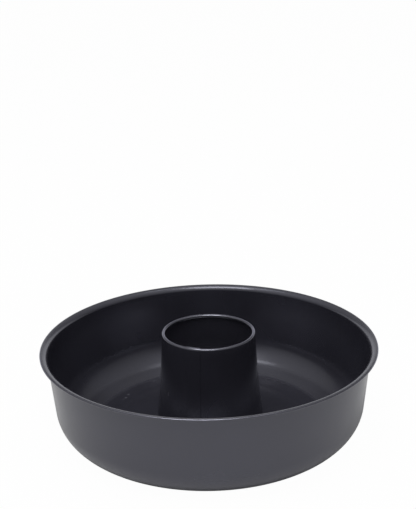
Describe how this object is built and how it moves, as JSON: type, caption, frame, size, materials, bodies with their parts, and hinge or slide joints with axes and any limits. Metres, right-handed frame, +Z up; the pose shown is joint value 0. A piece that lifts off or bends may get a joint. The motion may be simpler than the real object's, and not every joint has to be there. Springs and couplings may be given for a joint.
{
  "type": "ring cake tin",
  "caption": "Round ring cake tin with a flared wall, rolled rim, rounded lower corner and an open conical tube in the middle, in charcoal non-stick finish.",
  "frame": {"origin": "centre of the base, on the surface that the tin stands on", "axes": "+Z up along the axis of the pan and its tube; -Y towards the side that the picture shows"},
  "size_m": [0.26, 0.26, 0.0804],
  "materials": {
    "nonstick_coating": "satin charcoal non-stick coating on steel sheet",
    "steel_wire": "drawn steel wire, bare"
  },
  "bodies": {
    "root": {"pan_shell": "nonstick_coating", "centre_tube": "nonstick_coating", "rim_wire": "steel_wire"}
  },
  "joints": []
}
